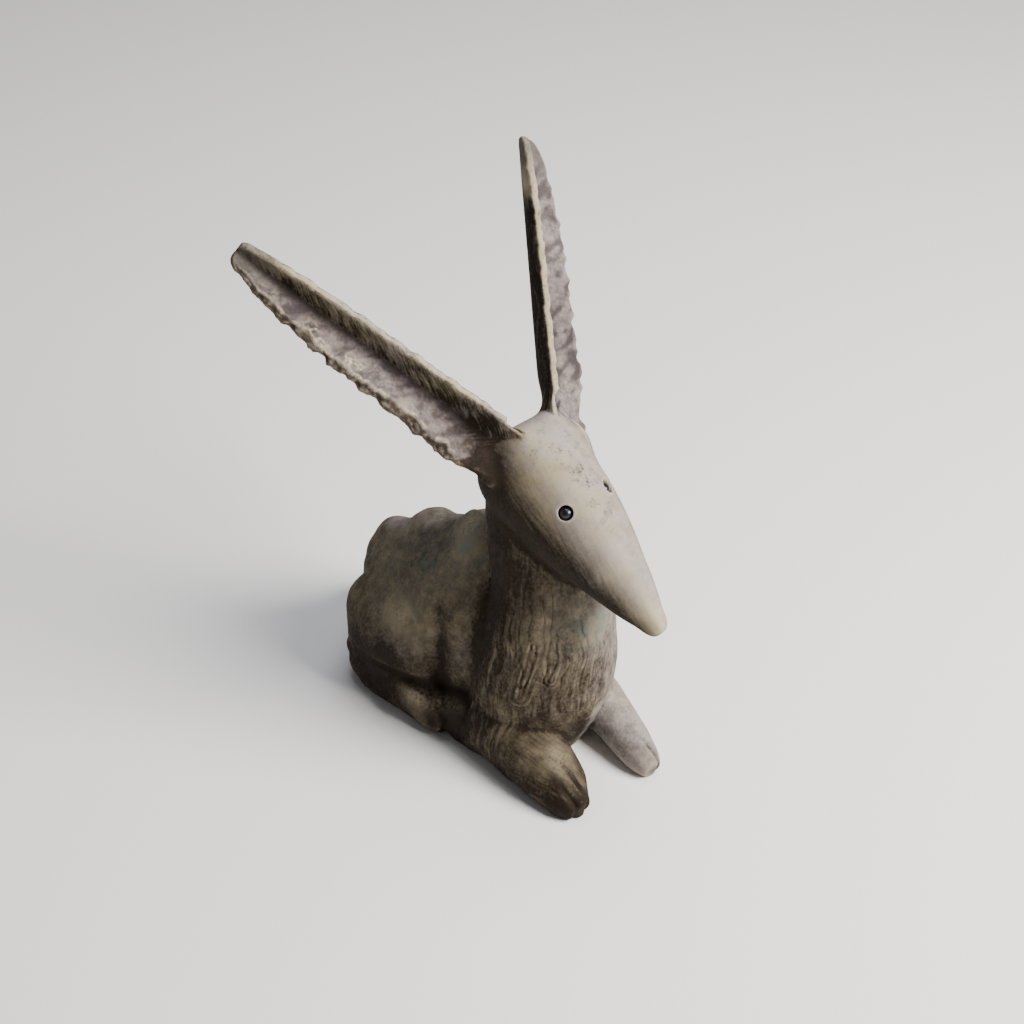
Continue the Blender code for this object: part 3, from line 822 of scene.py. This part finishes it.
def painted_masks(skin, fine, broad):
    """Every mask of the paint. Fine and broad say how deep a point lies in hollows of either size."""
    points, normals = skin.points, skin.normals
    x, y, z = points.T
    cloud, blur, wisps = noise(points / 13, 31), noise(points / 26, 37), noise(points / 4, 32)
    paint = {name: np.zeros(len(points)) for name in MASKS}
    paint_head(skin, paint, cloud, wisps)
    paint_ears(skin, paint, cloud, wisps)

    legs = skin.near_leg + skin.far_leg
    # The chest lighter on its left side, which faces the key lamp, is painted light; darker low down is
    # painted shade
    turned = ramp(-34, 26, x)
    low = 0.12 * ramp(74, 56, z)
    paint["wash_and_shade"] += skin.chest * (0.66 - 0.30 * turned + 0.18 * cloud + 0.04 * wisps + low)
    paint["wash_and_shade"] += skin.near_leg * (0.70 + 0.12 * cloud + 0.08 * wisps)
    paint["wash_and_shade"] += skin.far_leg * (0.17 + 0.16 * cloud + 0.10 * wisps)
    # The trunk darker towards the ground: painted shade
    low = ramp(70, 8, z)
    paint["wash_and_shade"] += skin.trunk * (0.31 + 0.15 * cloud + 0.15 * blur + 0.05 * wisps + 0.34 * low)
    body = skin.trunk + skin.chest + legs
    mirrored = np.column_stack((-np.abs(x), y, z))
    patches = {name: np.zeros(len(points)) for name in MASKS}
    add_patches(patches, mirrored, BODY_PATCHES)
    add_patches(patches, points, FORELEG_PATCHES)
    for name, values in patches.items():
        paint[name] += body * values
    # Painted shade in the creases in front of the thigh and over the hind foot
    front, front_shown, below, foot_shown = thigh_creases(points)
    paint["wash_and_shade"] += skin.trunk * 0.30 * (front_shown * bump(front + 1, 5) + foot_shown * bump(below, 4))

    # Less olive on the chest's left side goes with its painted light
    paint["olive"] += skin.chest * (1 - 0.45 * turned) + skin.near_leg + skin.trunk
    paint["mist"] += skin.trunk * 0.45 * ramp(0.0, 0.6, blur + 0.4 * cloud)
    # Mauve on the far foreleg; on the trunk's upward-facing parts it is painted light from above
    paint["violet"] += 0.45 * skin.far_leg + 0.35 * skin.trunk * ramp(0.75, 1.0, normals[:, 2])
    blotches = ramp(80, 40, z) * ramp(-0.2, 0.5, cloud)
    # Mauve on the chest's left side also goes with its painted light
    paint["violet"] += skin.chest * (0.30 * turned + 0.30 * blotches)

    groove, crest = toe_marks(points)
    paint["wash_and_shade"] += body * (1 - 0.6 * skin.far_leg) * (0.85 * groove - 0.06 * crest)
    paint["pale"] += body * 0.14 * crest
    ears = sum(ear[0] for ear in skin.ears.values())
    paint["grainy"] += 1 - 0.6 * skin.head - 0.25 * ears
    crisp = 1 - 0.6 * skin.trunk - 0.55 * skin.head - 0.45 * legs - 0.25 * skin.chest - 0.6 * ears
    # Brown wash in the fine hollows and painted shade in the broad ones
    paint["wash_and_shade"] += crisp * 0.50 * ramp(0.04, 0.34, fine) + 0.50 * ramp(0.5, 2.8, broad)
    paint["wash_and_shade"] -= crisp * 0.18 * ramp(-0.04, -0.32, fine)
    # Pale on the fine crests from wear, and painted highlights on the broad bulges
    ends = np.clip(1 + 2 * patches["pale"], 0, 1)
    worn = 0.75 * ramp(-0.07, -0.34, fine) + 0.4 * ramp(-0.9, -2.8, broad)
    paint["pale"] += crisp * ends * worn
    # No pale in the painted shade of the right ear's fold
    for place, radii in RIGHT_EAR_FOLDS:
        paint["pale"] *= 1 - 0.9 * blob(points, place, radii)
    return paint


def carve_and_paint(mesh):
    """Moves the skin's points by the carving and keeps the masks and the hair's direction on them."""
    count = len(mesh.vertices)
    points, normals = np.empty(count * 3), np.empty(count * 3)
    mesh.vertices.foreach_get("co", points)
    mesh.vertex_normals.foreach_get("vector", normals)
    points, normals = points.reshape(-1, 3) / MM, normals.reshape(-1, 3)
    skin = Skin(points, normals)
    flows = skin.flows()
    height = chest_locks(skin, flows[1]) + thigh_shape(points) * skin.trunk
    height += toe_cuts(points) * (1 - 0.4 * skin.far_leg)
    height += uneven_clay(skin) + strokes(flows) + nested_rings(flows[2]) + ear_rims(skin)
    eye = eye_distance(points)
    height += 0.12 * bump(eye - EYE_DIAMETER / 2 - 0.8, 0.6)

    # The ears grow out of the skull without a step
    loose = smoothed(mesh, points, ROOT_ROUNDS)
    x, y, z = points.T
    roots = np.zeros(count)
    for side in (-1, 1):
        _, share, _, _, wall_share, _, _ = skin.ears[side]
        near = ramp(-0.22, -0.08, share) * ramp(0.19, 0.05, share)
        gap = skin.gap - (12 * ramp(0.0, 0.3, wall_share) if side > 0 else 0)
        roots += near * ramp(26, 14, gap) * (x * side > 0) * ramp(160, 168, z)

    # So do the hock and the left temple
    hock = ramp(-28, -34, x) * ramp(30, 40, y) * ramp(16, 22, z) * ramp(46, 36, z)
    temple = np.linalg.norm((points - LEFT_TEMPLE_CENTRE) / LEFT_TEMPLE_RADII, axis=1)
    roots = np.maximum(roots, np.maximum(hock, ramp(2.1, 1.4, temple)))
    carved = points + (0.9 * roots)[:, None] * (loose - points)
    carved += normals * (height * (1 - 0.6 * roots))[:, None]

    fine = np.einsum("ij,ij->i", smoothed(mesh, carved, FINE_ROUNDS) - carved, normals)
    broad = np.einsum("ij,ij->i", smoothed(mesh, carved, BROAD_ROUNDS) - carved, normals)
    paint = painted_masks(skin, fine, broad)
    # Dark inside the sockets, glue and painted shade, and a painted highlight round their rims
    paint["wash_and_shade"] = np.where(eye < EYE_DIAMETER / 2 + EYE_CLEARANCE, 1.3, paint["wash_and_shade"])
    paint["pale"] += 0.45 * bump(eye - EYE_DIAMETER / 2 - 0.9, 0.5)
    mesh.vertices.foreach_set("co", (carved * MM).ravel())
    paint["brushed"] = sum(weight * shown for weight, _, _, _, shown in flows)
    for name, values in paint.items():
        layer = mesh.attributes.new(name, "FLOAT", "POINT")
        layer.data.foreach_set("value", np.clip(values, 0, 1.4).astype(np.float32))
    chosen = np.array([flow[0] for flow in flows]).argmax(axis=0)
    place = np.zeros((count, 3))
    for number, (_, along, across, _, _) in enumerate(flows):
        here = chosen == number
        place[here] = np.column_stack((along, across, np.full(count, 37.0 * number)))[here]
    layer = mesh.attributes.new("flow", "FLOAT_VECTOR", "POINT")
    layer.data.foreach_set("vector", place.astype(np.float32).ravel())
    mesh.update()


# The statue: thinned where it is smooth, bored for the eyes and cut flat on the ground


def aimed(centre, out):
    turn = Vector(out).to_track_quat("Z", "Y").to_matrix().to_4x4()
    return Matrix.Translation(Vector(centre) * MM) @ turn


def socket_cutter(side):
    """A round-bottomed hole: a dome below and a straight wall out through the skin."""
    centre, out = eye_place(side)
    radius = (EYE_DIAMETER / 2 + EYE_CLEARANCE) * MM
    reach = (EYE_DIAMETER / 2 + EYE_RECESS + 3) * MM
    tool = bmesh.new()
    bmesh.ops.create_uvsphere(tool, u_segments=48, v_segments=24, radius=radius)
    bmesh.ops.delete(tool, geom=[v for v in tool.verts if v.co.z > 1e-6], context="VERTS")
    open_edges = [e for e in tool.edges if len(e.link_faces) == 1]
    grown = bmesh.ops.extrude_edge_only(tool, edges=open_edges)["geom"]
    top = [v for v in grown if isinstance(v, bmesh.types.BMVert)]
    bmesh.ops.translate(tool, verts=top, vec=(0, 0, reach))
    bmesh.ops.contextual_create(tool, geom=top)
    bmesh.ops.recalc_face_normals(tool, faces=tool.faces)
    bmesh.ops.transform(tool, matrix=aimed(centre, out), verts=tool.verts)
    mesh = as_mesh(f"socket_tool_{side}", tool)
    # The hole's wall is painted dark: glue and painted shade
    dark = mesh.attributes.new("wash_and_shade", "FLOAT", "POINT")
    dark.data.foreach_set("value", np.full(len(mesh.vertices), 1.3, np.float32))
    return linked(mesh.name, mesh)


def cut_at_ground(mesh):
    body = bmesh.new()
    body.from_mesh(mesh)
    everything = body.verts[:] + body.edges[:] + body.faces[:]
    bmesh.ops.bisect_plane(body, geom=everything, dist=1e-7, plane_no=(0, 0, 1), clear_inner=True)
    bmesh.ops.holes_fill(body, edges=[e for e in body.edges if e.is_boundary], sides=0)
    body.to_mesh(mesh)
    body.free()


def make_statue():
    """The finer clay, carved, thinned to its share of triangles and bored for the eyes."""
    mesh = melted_clay()
    carve_and_paint(mesh)
    rough = linked("rough", mesh)
    fewer = rough.modifiers.new("fewer", "DECIMATE")
    fewer.ratio = min(1.0, KEPT_TRIANGLES / (2 * len(mesh.polygons)))
    cutters = [socket_cutter(side) for side in (-1, 1)]
    for cutter in cutters:
        cut = rough.modifiers.new(cutter.name, "BOOLEAN")
        cut.operation = "DIFFERENCE"
        cut.solver = "EXACT"
        cut.object = cutter
    finished = finished_mesh(rough)
    for spent in (rough, *cutters):
        bpy.data.objects.remove(spent)
    cut_at_ground(finished)
    finished.shade_smooth()
    finished.materials.clear()
    finished.materials.append(weathered_stoneware())
    finished.name = "carved_fox"
    statue = linked("carved_fox", finished)
    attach(statue, "root")
    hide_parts("fox_statue")


def make_eye(side, name, cad_node):
    """A glass bead, glued into its socket."""
    low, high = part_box(cad_node)
    ball = bmesh.new()
    place = aimed(*eye_place(side))
    place.translation = (low + high) / 2
    radius = EYE_DIAMETER / 2 * MM
    bmesh.ops.create_uvsphere(ball, u_segments=64, v_segments=32, radius=radius, matrix=place)
    mesh = as_mesh(name, ball)
    mesh.shade_smooth()
    mesh.materials.append(blue_black_glass())
    bead = linked(name, mesh)
    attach(bead, "root")
    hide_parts(cad_node)


# Materials


def colour(text):
    """An sRGB hex value as a linear colour."""
    parts = [int(text[i : i + 2], 16) / 255 for i in (1, 3, 5)]
    return (*(p / 12.92 if p <= 0.04045 else ((p + 0.055) / 1.055) ** 2.4 for p in parts), 1)


def node(tree, kind, settings=(), out=0, **links):
    """Adds a node and returns one of its outputs. A link or a value goes to the socket of that name, or
    of that number as _0, _1 and so on."""
    made = tree.nodes.new("ShaderNode" + kind)
    for name, value in dict(settings).items():
        setattr(made, name, value)
    for name, value in links.items():
        socket = made.inputs[int(name[1:]) if name[0] == "_" else name.replace("_", " ")]
        if isinstance(value, bpy.types.NodeSocket):
            tree.links.new(value, socket)
        else:
            socket.default_value = value
    return made.outputs[out]


def new_material(name):
    material = bpy.data.materials.new(name)
    material.use_nodes = True
    return material, material.node_tree, material.node_tree.nodes["Principled BSDF"]


TIMES = {"operation": "MULTIPLY"}
PLUS = {"operation": "ADD"}
SOFT = {"interpolation_type": "SMOOTHSTEP"}
COLOURS = {"data_type": "RGBA"}
CREAM, PINK_WHITE, NOSE_CREAM = "#A2977B", "#A59C96", "#B3A98F"
OLIVE_CLAY, OLIVE_GREY = "#7A6E58", "#696151"
MAUVE_LIGHT, MAUVE_DARK = "#8C8281", "#6B6262"
SLATE = "#423B3D"
MIST, TIP_GREY = "#6E726A", "#504C47"
UMBER, UMBER_WARM = "#130D07", "#241910"
WORN_AND_HIGHLIGHT_CREAM, PIT_BROWN = "#B5A98F", "#4A4036"


def weathered_stoneware():
    """Matt unglazed stoneware: cream clay under a brown wash that stays in the hollows, with painted
    shade in the broad ones, pale on the crests from wear and painted highlights, with mauve-grey slip in
    the ears and grey-green weathering on the back."""
    material, tree, shader = new_material("weathered_stoneware")
    place = node(tree, "TexCoord", out="Object")
    flow = node(tree, "Attribute", {"attribute_name": "flow"}, "Vector")
    wash_and_shade, pale, violet, slate, olive, mist, grey, warm, pitted, grained, brushed = (
        node(tree, "Attribute", {"attribute_name": name}, "Fac") for name in (*MASKS, "brushed")
    )

    # Patches about 24, 7 and 1.6 mm across, hairs and brush strokes about eight times as long as they are
    # wide, and specks
    wide, middle, small = (
        node(tree, "TexNoise", Vector=place, Scale=1 / (size * MM), Detail=detail, Roughness=rough)
        for size, detail, rough in ((24, 3.0, 0.55), (7, 4.0, 0.6), (1.6, 3.0, 0.6))
    )
    stretched = node(tree, "Mapping", Vector=flow, Scale=(0.13, 1, 1))
    hairs = node(tree, "TexNoise", Vector=stretched, Scale=1.0, Detail=2.0, Roughness=0.55)
    brush = node(tree, "TexNoise", Vector=stretched, Scale=0.5, Detail=3.0, Roughness=0.6)
    specks = node(
        tree, "TexNoise", Vector=place, Scale=1 / (1.9 * MM), Detail=2.0, Roughness=0.7, Distortion=0.6
    )

    # Each value is read between two limits and gives a number between the last two
    reads = {
        "wide": (wide, 0.35, 0.65, 0, 1),
        "middle": (middle, 0.35, 0.65, 0, 1),
        "mauve": (small, 0.3, 0.6, 0.6, 1),
        "mist": (middle, 0.35, 0.62, 0.25, 0.85),
        "grains": (small, 0.25, 0.75, -0.15, 0.15),
        "clouds": (middle, 0.3, 0.7, -0.12, 0.12),
        "brush": (brush, 0.32, 0.68, -0.36, 0.36),
        "washed_and_shaded": (wash_and_shade, 0, 0.3, 0.15, 1),
        "hairs": (hairs, 0.55, 0.68, 0, 1),
        "haired": (wash_and_shade, 0.05, 0.4, 0.15, 0.6),
        "worn": (small, 0.36, 0.60, 0.1, 0.8),
        "pits": (specks, 0.57, 0.68, 0, 1),
        "pit_clusters": (middle, 0.40, 0.56, 0, 1),
        "smudges": (middle, 0.48, 0.66, 0, 0.55),
        "rough": (small, 0.3, 0.7, 0.68, 0.88),
    }
    soft = {
        name: node(tree, "MapRange", SOFT, Value=value, From_Min=a, From_Max=b, To_Min=c, To_Max=d)
        for name, (value, a, b, c, d) in reads.items()
    }

    # The clay and its slips
    cream = node(tree, "Mix", COLOURS, 2, _0=soft["wide"], _6=colour(CREAM), _7=colour(PINK_WHITE))
    cream = node(tree, "Mix", COLOURS, 2, _0=warm, _6=cream, _7=colour(NOSE_CREAM))
    earth, mauve, umber = (
        node(tree, "Mix", COLOURS, 2, _0=soft["middle"], _6=colour(first), _7=colour(second))
        for first, second in ((OLIVE_CLAY, OLIVE_GREY), (MAUVE_LIGHT, MAUVE_DARK), (UMBER, UMBER_WARM))
    )
    clay = node(tree, "Mix", COLOURS, 2, _0=olive, _6=cream, _7=earth)
    slips = (
        (violet, soft["mauve"], mauve),
        (mist, soft["mist"], colour(MIST)),
        (slate, 0.75, colour(SLATE)),
        (grey, 0.8, colour(TIP_GREY)),
    )
    for mask, most, slip in slips:
        share = node(tree, "Math", TIMES, _0=mask, _1=most)
        clay = node(tree, "Mix", COLOURS, 2, _0=share, _6=clay, _7=slip)

    # The wash and the painted shade, uneven with the grain and the brush
    brushy = node(tree, "Math", TIMES, _0=soft["brush"], _1=brushed)
    uneven = node(tree, "Math", PLUS, _0=soft["grains"], _1=soft["clouds"])
    uneven = node(tree, "Math", TIMES, _0=uneven, _1=grained)
    uneven = node(tree, "Math", PLUS, _0=uneven, _1=brushy)
    uneven = node(tree, "Math", TIMES, _0=uneven, _1=soft["washed_and_shaded"])
    washed_and_shaded = node(tree, "Math", PLUS, _0=wash_and_shade, _1=uneven)
    washed_and_shaded = node(tree, "MapRange", Value=washed_and_shaded, From_Min=0.0, From_Max=1.0, To_Min=0.0, To_Max=0.97)
    stone = node(tree, "Mix", COLOURS, 2, _0=washed_and_shaded, _6=clay, _7=umber)

    # Fine dark hairs, the worn crests with painted highlights, and pits in clusters and smudges on the
    # forehead
    thin = node(tree, "Math", TIMES, _0=soft["hairs"], _1=brushed)
    pits = node(tree, "Math", TIMES, _0=soft["pits"], _1=soft["pit_clusters"])
    pits = node(tree, "Math", TIMES, _0=pits, _1=pitted)
    marks = (
        (thin, soft["haired"], UMBER_WARM),
        # Pale: worn crests and rims, together with painted highlights
        (pale, soft["worn"], WORN_AND_HIGHLIGHT_CREAM),
        (pits, 0.80, PIT_BROWN),
        (soft["smudges"], pitted, MAUVE_DARK),
    )
    for mask, most, tint in marks:
        share = node(tree, "Math", TIMES, _0=mask, _1=most)
        stone = node(tree, "Mix", COLOURS, 2, _0=share, _6=stone, _7=colour(tint))

    # Relief finer than the mesh
    grain = node(tree, "TexNoise", Vector=place, Scale=1 / (0.7 * MM), Detail=2.0)
    combed = node(tree, "Math", TIMES, _0=hairs, _1=brushed)
    relief = node(tree, "Math", {"operation": "MULTIPLY_ADD"}, _0=grain, _1=0.45, _2=combed)
    relief = node(tree, "Math", {"operation": "MULTIPLY_ADD"}, _0=pits, _1=-0.9, _2=relief)
    bumpy = node(tree, "Bump", Strength=0.6, Distance=0.35 * MM, Height=relief)
    tree.links.new(bumpy, shader.inputs["Normal"])
    tree.links.new(stone, shader.inputs["Base Color"])
    tree.links.new(soft["rough"], shader.inputs["Roughness"])
    shader.inputs["Specular IOR Level"].default_value = 0.15
    return material


def blue_black_glass():
    """Opaque lamp-worked glass: nearly black, with cloudy blue streaks that are a painted reflection, and
    a bright polish.
    """
    material, tree, shader = new_material("blue_black_glass")
    place = node(tree, "TexCoord", out="Object")
    cloud = node(tree, "TexNoise", Vector=place, Scale=1 / (2.4 * MM), Detail=3.0)
    share = node(tree, "MapRange", Value=cloud, From_Min=0.42, From_Max=0.66)
    tint = node(tree, "Mix", COLOURS, 2, _0=share, _6=colour("#050609"), _7=colour("#151B2C"))
    tree.links.new(tint, shader.inputs["Base Color"])
    shader.inputs["Roughness"].default_value = 0.30
    shader.inputs["Coat Weight"].default_value = 0.15
    shader.inputs["Coat Roughness"].default_value = 0.12
    return material


def studio_paper():
    """Matt pale paper for the floor."""
    material, _, shader = new_material("studio_paper")
    shader.inputs["Base Color"].default_value = colour("#FAF9F7")
    shader.inputs["Roughness"].default_value = 0.9
    return material


# The studio: lengths in metres, but the lens and its sensor in millimetres

FLOOR_REACH = 3.0
FLOOR_GAP = 0.3 * MM
CAMERA_TARGET = Vector((0, -0.020, 0.125))
CAMERA_DISTANCE = 0.956
CAMERA_TURN = math.radians(46)
CAMERA_RISE = math.radians(36)
LENS_MM = 70
SENSOR_MM = 36

# Name, place, size, watts and tint of each lamp

LAMPS = (
    ("key", (0.42, -1.05, 1.05), 0.8, 53, "#FFFAF4"),
    ("top", (0.35, 0.15, 1.5), 1.0, 12, "#F4F6FF"),
)
LIT_PLACE = (0, -0.01, 0.1)
SKY_STRENGTH = 0.15


def make_floor():
    """A sheet just under the feet, so that the two never share a plane."""
    sheet = bmesh.new()
    place = Matrix.Translation((0, 0, -FLOOR_GAP))
    bmesh.ops.create_grid(sheet, x_segments=1, y_segments=1, size=FLOOR_REACH, matrix=place)
    mesh = as_mesh("floor", sheet)
    mesh.materials.append(studio_paper())
    linked("floor", mesh)


def looking(place, target):
    turn = (Vector(place) - Vector(target)).to_track_quat("Z", "Y").to_matrix().to_4x4()
    return Matrix.Translation(place) @ turn


def make_camera():
    """The photograph's angle, from the animal's front right and above."""
    flat = math.cos(CAMERA_RISE)
    back = Vector((-math.sin(CAMERA_TURN) * flat, -math.cos(CAMERA_TURN) * flat, math.sin(CAMERA_RISE)))
    lens = bpy.data.cameras.new("camera")
    lens.lens = LENS_MM
    lens.sensor_width = SENSOR_MM
    lens.clip_start = 0.01
    camera = linked("camera", lens)
    camera.matrix_world = looking(CAMERA_TARGET + CAMERA_DISTANCE * back, CAMERA_TARGET)
    bpy.context.scene.camera = camera


def add_light(name, place, size, watts, tint):
    lamp = bpy.data.lights.new(name, "AREA")
    lamp.shape = "DISK"
    lamp.size = size
    lamp.energy = watts
    lamp.color = colour(tint)[:3]
    linked(name, lamp).matrix_world = looking(place, LIT_PLACE)


def make_lights():
    """A broad warm key from the front, a cool one from above and a dim even sky."""
    for lamp in LAMPS:
        add_light(*lamp)
    world = bpy.data.worlds.new("studio")
    bpy.context.scene.world = world
    world.use_nodes = True
    sky = world.node_tree.nodes["Background"]
    sky.inputs["Color"].default_value = colour("#F2F3F5")
    sky.inputs["Strength"].default_value = SKY_STRENGTH


make_camera()
make_lights()
make_floor()
make_statue()
make_eye(-1, "right_eye_glass", "right_eye_bead")
make_eye(1, "left_eye_glass", "left_eye_bead")
